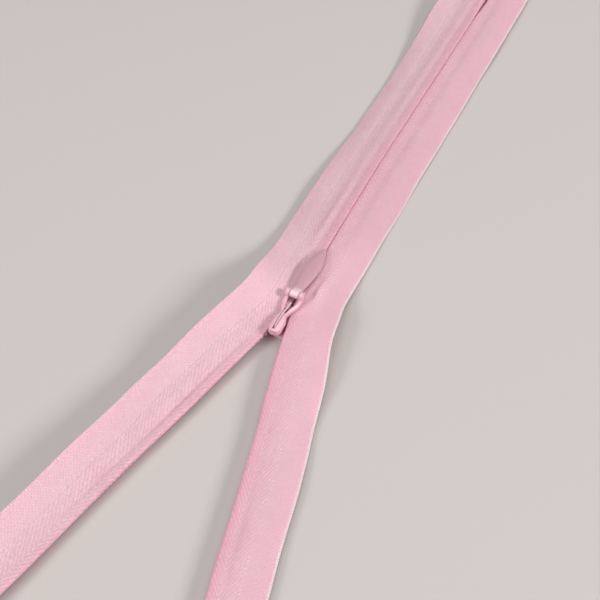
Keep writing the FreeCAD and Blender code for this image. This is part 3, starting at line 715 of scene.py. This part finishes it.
def woven(name, rim_q, rim_colour, tint, closed_painted_shade, border, meet, grain, calm, ribs, fleck):
    """Polyester zipper tape: plain weave by the selvage, two bands of herringbone by the fold. The cloth's own
    millimetre coordinates are on the mesh, so the weave stays with the thread lines wherever the tape bends."""
    k = Nodes(name, Sheen_Weight=0.22, Sheen_Roughness=0.45, IOR=1.42, Subsurface_Weight=0.60, Subsurface_Scale=0.0015)
    k.bsdf.inputs["Subsurface Radius"].default_value = (1.0, 0.75, 0.80)
    k.bsdf.inputs["Sheen Tint"].default_value = (1.0, 0.86, 0.90, 1.0)
    vec, q, s, flag = k.attr("cloth")
    wob = k.m("MULTIPLY_ADD", k.noise(vec, 0.35, 3.0), 1.3, -0.65)
    sw = k.m("ADD", s, wob)
    # plain weave
    a = k.m("SINE", k.m("MULTIPLY", sw, 2 * math.pi / 0.86))
    b = k.m("SINE", k.m("MULTIPLY", q, 2 * math.pi / 0.84))
    chk = k.m("MULTIPLY_ADD", k.m("MULTIPLY", a, b), 0.5, 0.5)
    rib = k.wave(sw, 0.43)
    plain = k.m("ADD", k.m("MULTIPLY", chk, 0.55), k.m("MULTIPLY", rib, 0.45))
    # herringbone: the ribs meet along a line and open towards the slider
    off = k.m("ABSOLUTE", k.m("SUBTRACT", q, meet))
    ph = k.m("SUBTRACT", sw, k.m("MULTIPLY", off, 1.75))
    r1 = k.m("POWER", k.wave(ph, 1.45), 1.6)
    r1 = k.m("MULTIPLY", r1, k.m("MULTIPLY_ADD", k.noise(vec, 1.1, 3.0), 2.6, -0.52, clamp=True))
    r1 = k.m("MULTIPLY", r1, k.m("MULTIPLY_ADD", k.wave(q, 0.72), 0.45, 0.55))
    r1 = k.m("MULTIPLY", r1, k.m("MULTIPLY_ADD", k.span(s, 10.0, 26.0), -calm, 1.0))
    r2 = k.wave(q, 0.46)
    slub = k.noise(vec, 1.3, 2.0)
    twill = k.m("ADD", k.m("MULTIPLY", r1, ribs), k.m("MULTIPLY", k.m("MULTIPLY", r2, slub), 0.35))
    tw = k.span(q, border - 0.15, border + 0.15)
    rim = k.m("SUBTRACT", 1.0, k.span(q, rim_q, rim_q + 0.22))
    height = k.m("ADD", k.m("MULTIPLY", plain, k.m("SUBTRACT", 1.0, tw)), k.m("MULTIPLY", k.m("MULTIPLY", twill, 1.25), tw))
    height = k.m("ADD", k.m("MULTIPLY", height, k.m("SUBTRACT", 1.0, rim)), k.m("MULTIPLY", rim, k.wave(sw, 0.62)))
    # colour across the tape, from the selvage to the folded strip
    bands = (
        (0.0, rim_colour),
        (rim_q / 16.0, rim_colour),
        (rim_q / 16.0 + 0.014, (0.800, 0.470, 0.550)),
        (0.20, (0.790, 0.482, 0.560)),
        (0.34, (0.790, 0.488, 0.566)),
        (0.375, (0.812, 0.500, 0.578)),
        (0.60, (0.800, 0.475, 0.556)),
        (0.665, (0.815, 0.450, 0.538)),
        (0.76, (0.840, 0.425, 0.520)),
        (0.90, (0.800, 0.370, 0.472)),
    )
    col = k.ramp(k.m("DIVIDE", q, 16.0), [(at, tuple(c * f for c, f in zip(colour, tint))) for at, colour in bands])
    tone = k.m("MULTIPLY_ADD", height, grain, 1.0 - 0.5 * grain)
    fine = k.m("MULTIPLY_ADD", k.noise(vec, 2.6, 1.0), fleck, 1.0 - 0.5 * fleck)
    tone = k.m("MULTIPLY", tone, fine)
    # painted shade: the tape is made darker along the closed chain than on the open legs, for the way the light falls
    # there
    tone = k.m("MULTIPLY", tone, k.m("MULTIPLY_ADD", k.span(s, -4.0, 34.0), -closed_painted_shade, 1.0))
    col = k.scaled(col, tone)
    big = k.noise(vec, 0.09, 3.0)
    col = k.scaled(col, k.m("MULTIPLY_ADD", big, 0.10, 0.95))
    # painted highlights: glints of light on the floats where the weave changes, a broken row of bright dots each side
    # of the border, and along the meeting line; the floats are also given a lower roughness
    dots = k.m("POWER", k.wave(sw, 0.95), 3.0)
    gate = k.span(k.noise(vec, 0.42, 1.0), 0.44, 0.60)
    line1 = k.m("ADD", k.bell(q, border + 0.10, 0.26), k.bell(q, border + 0.80, 0.22))
    line2 = k.m("MULTIPLY", k.bell(q, meet, 0.30), 0.45)
    painted_glint = k.m("MULTIPLY", k.m("MULTIPLY", dots, gate), k.m("ADD", line1, line2), clamp=True)
    col = k.mix(k.m("MULTIPLY", painted_glint, 0.42), col, (0.96, 0.80, 0.84, 1.0))
    k.link("Base Color", col)
    k.link("Roughness", k.m("SUBTRACT", k.m("MULTIPLY_ADD", height, -0.14, 0.66), k.m("MULTIPLY", painted_glint, 0.16)))
    # light can't scatter across the joint between the closed piece and the leg, so it doesn't scatter right at it
    k.link("Subsurface Weight", k.m("MULTIPLY_ADD", k.bell(s, SEAM, 0.9), -0.60, 0.60))
    k.bump(height, 0.000040, 1.0)
    return k.mat


def nylon():
    k = Nodes("coil_nylon", Roughness=0.36, IOR=1.53, Subsurface_Weight=0.12, Subsurface_Scale=0.0008)
    p = k.pos(1000.0)
    n = k.noise(p, 0.8, 3.0)
    fine = k.noise(p, 6.0, 2.0)
    k.link("Base Color", k.mix(n, (0.800, 0.395, 0.490, 1.0), (0.860, 0.500, 0.580, 1.0)))
    k.link("Roughness", k.m("MULTIPLY_ADD", fine, 0.22, 0.26))
    k.bump(fine, 0.00001, 0.5)
    return k.mat


def spun(name, dark, light, scale):
    k = Nodes(name, Roughness=0.75, Sheen_Weight=0.3)
    p = k.pos((1000.0, 1000.0, 1000.0))
    n = k.noise(p, scale, 4.0, 0.7)
    k.link("Base Color", k.mix(n, dark, light))
    k.link("Roughness", k.m("MULTIPLY_ADD", n, 0.3, 0.55))
    k.bump(n, 0.00002, 0.8)
    return k.mat


def paint(name, rough, low, high, neck_painted_light=None):
    """Die-cast metal under a thin coat of baked pink enamel: gentle orange peel, a little duller in patches, with
    painted highlights on sharp edges and painted shade in hollows.
    """
    k = Nodes(name, IOR=1.5, Coat_Weight=0.20, Coat_Roughness=0.22)
    p = k.pos(1000.0)
    peel = k.noise(p, 2.2, 2.0)
    fine = k.noise(p, 9.0, 3.0)
    patch = k.noise(p, 0.35, 2.0)
    col = k.mix(patch, (*low, 1.0), (*high, 1.0))
    if neck_painted_light:  # painted highlight: the knuckle is given a paler colour than the flat leaf, for the light on its round top
        sep = k.nt.nodes.new("ShaderNodeSeparateXYZ")
        k.nt.links.new(p, sep.inputs[0])
        col = k.mix(k.span(sep.outputs[0], -5.6, -4.2), (*neck_painted_light, 1.0), col)
    geo = k.nt.nodes.new("ShaderNodeNewGeometry")
    # painted highlight: sharp edges are made paler, for light catching them
    edge = k.span(geo.outputs["Pointiness"], 0.515, 0.60)
    col = k.mix(k.m("MULTIPLY", edge, 0.45), col, (0.800, 0.560, 0.600, 1.0))
    # painted shade: hollows are made dark, for the shade in them
    painted_hollow_shade = k.m("SUBTRACT", 1.0, k.span(geo.outputs["Pointiness"], 0.40, 0.485))
    col = k.mix(k.m("MULTIPLY", painted_hollow_shade, 0.45), col, (0.330, 0.120, 0.160, 1.0))
    k.link("Base Color", col)
    k.link("Roughness", k.m("ADD", k.m("MULTIPLY_ADD", fine, 0.16, rough - 0.08), k.m("MULTIPLY", patch, 0.08)))
    k.bump(peel, 0.000018, 0.5)
    return k.mat


def steel():
    k = Nodes("spring_steel", Metallic=0.15)
    p = k.pos((160.0, 1500.0, 1500.0))
    n = k.noise(p, 6.0, 3.0, 0.7)
    k.link("Base Color", k.mix(n, (0.700, 0.470, 0.505, 1.0), (0.800, 0.560, 0.590, 1.0)))
    k.link("Roughness", k.m("MULTIPLY_ADD", n, 0.22, 0.28))
    k.bump(n, 0.000006, 0.6)
    return k.mat


def table_top():
    k = Nodes("table_top", Roughness=0.62, IOR=1.4)
    p = k.pos(1.0)
    n = k.noise(p, 3.0, 3.0)
    f = k.noise(p, 900.0, 2.0)
    k.link("Base Color", k.mix(n, (0.515, 0.477, 0.456, 1.0), (0.533, 0.492, 0.470, 1.0)))
    k.link("Roughness", k.m("MULTIPLY_ADD", f, 0.1, 0.57))
    k.bump(f, 0.00002, 0.3)
    return k.mat


# the fourth argument darkens the closed chain: painted shade
WOVEN = {
    1: woven("woven_tape_left", 0.26, (0.770, 0.500, 0.560), (0.920, 0.915, 0.885), 0.03, 5.15, 9.40, 0.30, 0.60, 0.60, 0.34),
    -1: woven("woven_tape_right", 0.34, (0.768, 0.608, 0.637), (0.945, 0.872, 0.880), 0.11, 5.75, 10.05, 0.20, 0.0, 0.80, 0.16),
}
NYLON = nylon()
CORD = spun("cord_polyester", (0.72, 0.42, 0.50, 1.0), (0.84, 0.58, 0.64, 1.0), 2.5)
THREAD = spun("sewing_thread", (0.80, 0.50, 0.58, 1.0), (0.92, 0.68, 0.74, 1.0), 5.0)
PAINT = paint("slider_enamel", 0.42, (0.690, 0.395, 0.450), (0.745, 0.445, 0.500))
STOP_PAINT = paint("stop_enamel", 0.40, (0.640, 0.350, 0.405), (0.700, 0.400, 0.455))
# painted shade: the tab's leaf is the slider's enamel made darker, for the shade it lies in; its knuckle is made
# paler, a painted highlight
TAB_PAINT_WITH_PAINTED_LIGHT = paint("tab_enamel_painted_light", 0.38, (0.515, 0.285, 0.328), (0.555, 0.318, 0.362), (0.840, 0.580, 0.620))
STEEL = steel()

# ------------------------------------------------------------------ the object
CLOSED = dict(a="tapes", b="slider", start=(CLOSED_END * MM, 0, 0), end=(-7.4 * MM, 0, 0))
OPEN = dict(a="slider", b="tapes", start=(-10.0 * MM, 0, 0), end=(-138.5 * MM, 0, 0))


def finish_piece(ob, mat, nodes, body=None, blend=None):
    ob.data.materials.clear()
    ob.data.materials.append(mat)
    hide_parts(*nodes)
    if body:
        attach(ob, body)
    if blend:
        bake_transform(ob)
    return ob


for side, word in ((1, "left"), (-1, "right")):
    end = s_end(side)
    t1 = tape(word + "_tape_closed", side, CLOSED_END, SEAM)
    t2 = tape(word + "_tape_leg", side, SEAM, end)
    finish_piece(t1, WOVEN[side], [word + "_tape"], blend=CLOSED)
    finish_piece(t2, WOVEN[side], [word + "_tape"], blend=OPEN)
    ph = 0.0 if side > 0 else 0.5
    top = BX - RB * LEG[side] - 100.6
    for piece, mat, slot, node, make in (
        ("coil", NYLON, "coil", "_coil", lambda n, a, b: coil(n, side, a, b, ph)),
        ("core_cord", CORD, "cord", "_core_cord", lambda n, a, b: cord(n, side, a, b)),
        ("sewing_thread", THREAD, "thread", "_sewing_thread", lambda n, a, b: thread(n, side, a, b)),
    ):
        o1 = make(word + "_" + piece + "_closed", 117.2, SEAM)
        o2 = make(word + "_" + piece + "_leg", SEAM, top)
        finish_piece(o1, mat, [word + node], blend=CLOSED)
        finish_piece(o2, mat, [word + node], blend=OPEN)

for node in ("left_top_stop", "right_top_stop", "bottom_stop"):
    ob = softened(node + "_cast", node, 0.08, 5, shape_clamp)
    # a stop is crimped to its coil, so it is passed the same blend settings as the end of its coil
    finish_piece(ob, STOP_PAINT, [node], blend=CLOSED if node == "bottom_stop" else OPEN)

slider = softened("slider_casting", "slider_body", 0.07, 9, shape_slider)
finish_piece(slider, PAINT, ["slider_body"], body="slider")
spring = softened("lock_spring_leaf", "lock_spring", 0.04, 2, shape_spring)
finish_piece(spring, STEEL, ["lock_spring"], body="latch")
tab = softened("pull_tab_leaf", "pull_tab", 0.07, 10, shape_tab)
finish_piece(tab, TAB_PAINT_WITH_PAINTED_LIGHT, ["pull_tab"], body="tab")

# ------------------------------------------------------------------ table and light
n = 48
ring = [(0.0, 0.0, 0.0)] + [(2500 * math.cos(2 * math.pi * i / n), 2500 * math.sin(2 * math.pi * i / n), 0.0) for i in range(n)]
floor = new_mesh("table", ring, [(0, 1 + i, 1 + (i + 1) % n) for i in range(n)])
floor.data.materials.append(table_top())

world = bpy.data.worlds.new("studio")
SC.world = world
world.use_nodes = True
bg = next(x for x in world.node_tree.nodes if x.type == "BACKGROUND")
bg.inputs["Color"].default_value = (1.0, 0.985, 0.975, 1.0)
bg.inputs["Strength"].default_value = 0.20

RIGHT = Vector((math.sin(yaw), -math.cos(yaw), 0.0))
AHEAD = Vector((math.cos(yaw), math.sin(yaw), 0.0))


def area(name, turn, elevation, distance, size, power, colour=(1, 1, 1)):
    """A soft square light. turn is degrees from the camera's right towards its front."""
    t, e = math.radians(turn), math.radians(elevation)
    d = (RIGHT * math.cos(t) + AHEAD * math.sin(t)) * math.cos(e) + Vector((0, 0, 1)) * math.sin(e)
    data = bpy.data.lights.new(name, "AREA")
    data.shape = "SQUARE"
    data.size = size
    data.energy = power
    data.color = colour
    ob = bpy.data.objects.new(name, data)
    SC.collection.objects.link(ob)
    ob.location = d * distance
    ob.rotation_mode = "QUATERNION"
    ob.rotation_quaternion = (-d).to_track_quat("-Z", "Y")
    return ob


area("key", -15, 28.5, 1.8, 0.46, 22.6, (1.0, 0.985, 0.965))
area("fill", 215, 30, 2.2, 0.62, 21.8, (0.98, 0.99, 1.0))
area("overhead", 0, 90, 1.1, 1.2, 7.6)

SC.view_settings.view_transform = "Standard"
SC.view_settings.look = "None"
